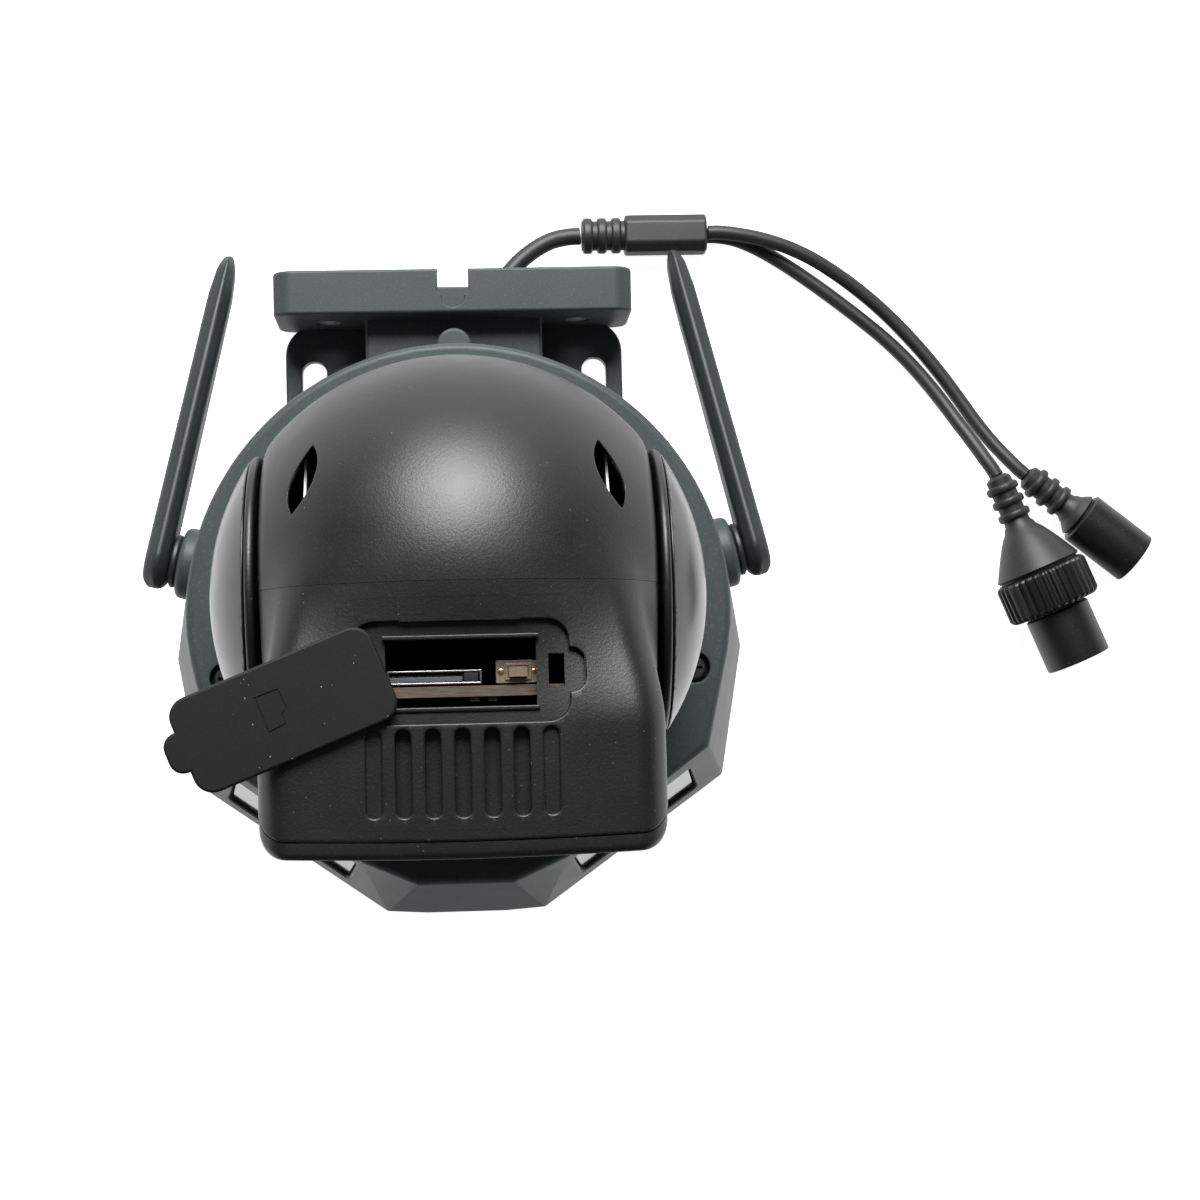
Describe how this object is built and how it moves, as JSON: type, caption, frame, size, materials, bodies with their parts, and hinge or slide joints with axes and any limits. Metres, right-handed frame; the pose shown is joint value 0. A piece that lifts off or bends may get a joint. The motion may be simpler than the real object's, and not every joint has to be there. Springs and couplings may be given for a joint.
{
  "type": "security camera",
  "caption": "Outdoor pan-and-tilt security camera: round base with a flared front, forked ears, a tilting ball head, folding antennas, a wall or ceiling bracket and a waterproof pigtail.",
  "frame": {"origin": "where the pan axis meets the bracket's ceiling face; the camera rests on that face, upside-down to how it hangs from a ceiling", "axes": "+Z along the pan axis from the ceiling face towards the head, +Y towards the bracket's wall face, -Y the way the lens looks at rest"},
  "size_m": [0.1958, 0.1351, 0.1189],
  "materials": {
    "slate_plastic": "satin moulded ABS, fine spark texture",
    "black_plastic": "satin moulded ABS, fine spark texture",
    "gloss_black": "semi-gloss moulded ABS",
    "rubber": "matt soft rubber",
    "smoked_lens": "polished smoked polycarbonate",
    "circuit_board": "solder-masked laminate",
    "steel": "plain plated steel",
    "nylon": "natural nylon",
    "switch_body": "translucent brown moulding"
  },
  "bodies": {
    "base": {"mount_bracket": "slate_plastic", "base_housing": "slate_plastic", "base_cover": "slate_plastic", "base_board": "circuit_board", "cable_gland": "rubber", "pan_motor": "steel", "pan_bush": "nylon", "bracket_screw_left": "steel", "bracket_screw_right": "steel", "base_screw_left": "steel", "base_screw_right": "steel", "lamp_window_left": "smoked_lens", "lamp_window_right": "smoked_lens", "lamp_board_left": "circuit_board", "lamp_board_right": "circuit_board", "main_cable": "rubber", "network_branch": "rubber", "power_branch": "rubber", "junction_block": "rubber", "network_plug_boot": "rubber", "network_plug_nut": "black_plastic", "network_plug_barrel": "black_plastic", "power_plug_boot": "rubber", "power_plug_body": "black_plastic"},
    "antenna_left": {"antenna_hub_left": "slate_plastic", "antenna_blade_left": "slate_plastic"},
    "antenna_right": {"antenna_hub_right": "slate_plastic", "antenna_blade_right": "slate_plastic"},
    "pinion": {"pan_pinion": "nylon"},
    "turntable": {"pan_gear": "nylon", "pan_yoke": "black_plastic", "tilt_bush": "nylon", "tilt_shaft": "steel", "ear_cover_left": "gloss_black", "ear_cover_right": "gloss_black"},
    "head": {"head_rear_shell": "black_plastic", "head_front_shell": "black_plastic", "front_bezel": "black_plastic", "front_window": "smoked_lens", "lens_barrel": "black_plastic", "lens_element": "smoked_lens", "main_board": "circuit_board", "card_socket": "steel", "reset_switch": "switch_body", "tilt_motor": "steel", "speaker": "black_plastic", "chassis_plate_left": "steel", "chassis_plate_right": "steel"},
    "button": {"reset_button": "switch_body"},
    "door": {"card_door": "rubber"}
  },
  "joints": [
    {"name": "pan", "type": "hinge", "parent": "base", "child": "turntable", "pos_m": [0, 0, 0.0345], "axis": [0, 0, 1], "range_deg": [-177, 177]},
    {"name": "pinion_spin", "type": "hinge", "parent": "base", "child": "pinion", "pos_m": [0, -0.028, 0.028], "axis": [0, 0, 1], "range_deg": [-650, 650]},
    {"name": "tilt", "type": "hinge", "parent": "turntable", "child": "head", "pos_m": [0, 0, 0.078], "axis": [-1, 0, 0], "range_deg": [0, 90]},
    {"name": "antenna_left_swivel", "type": "hinge", "parent": "base", "child": "antenna_left", "pos_m": [-0.05223, 0.01158, 0.02], "axis": [0.9763, -0.2164, 0], "range_deg": [0, 190]},
    {"name": "antenna_right_swivel", "type": "hinge", "parent": "base", "child": "antenna_right", "pos_m": [0.05223, 0.01158, 0.02], "axis": [0.9763, 0.2164, 0], "range_deg": [0, 190]},
    {"name": "door_swivel", "type": "hinge", "parent": "head", "child": "door", "pos_m": [-0.0135, -0.0136, 0.118], "axis": [0, 0, 1], "range_deg": [0, 158.3]},
    {"name": "reset_press", "type": "slide", "parent": "head", "child": "button", "axis": [0, 0, -1], "range_m": [0, 0.00025], "stiffness_N_per_m": 800}
  ],
  "couplings": [
    {"joint": "pinion_spin", "follows": "pan", "ratio": -3.6667}
  ]
}
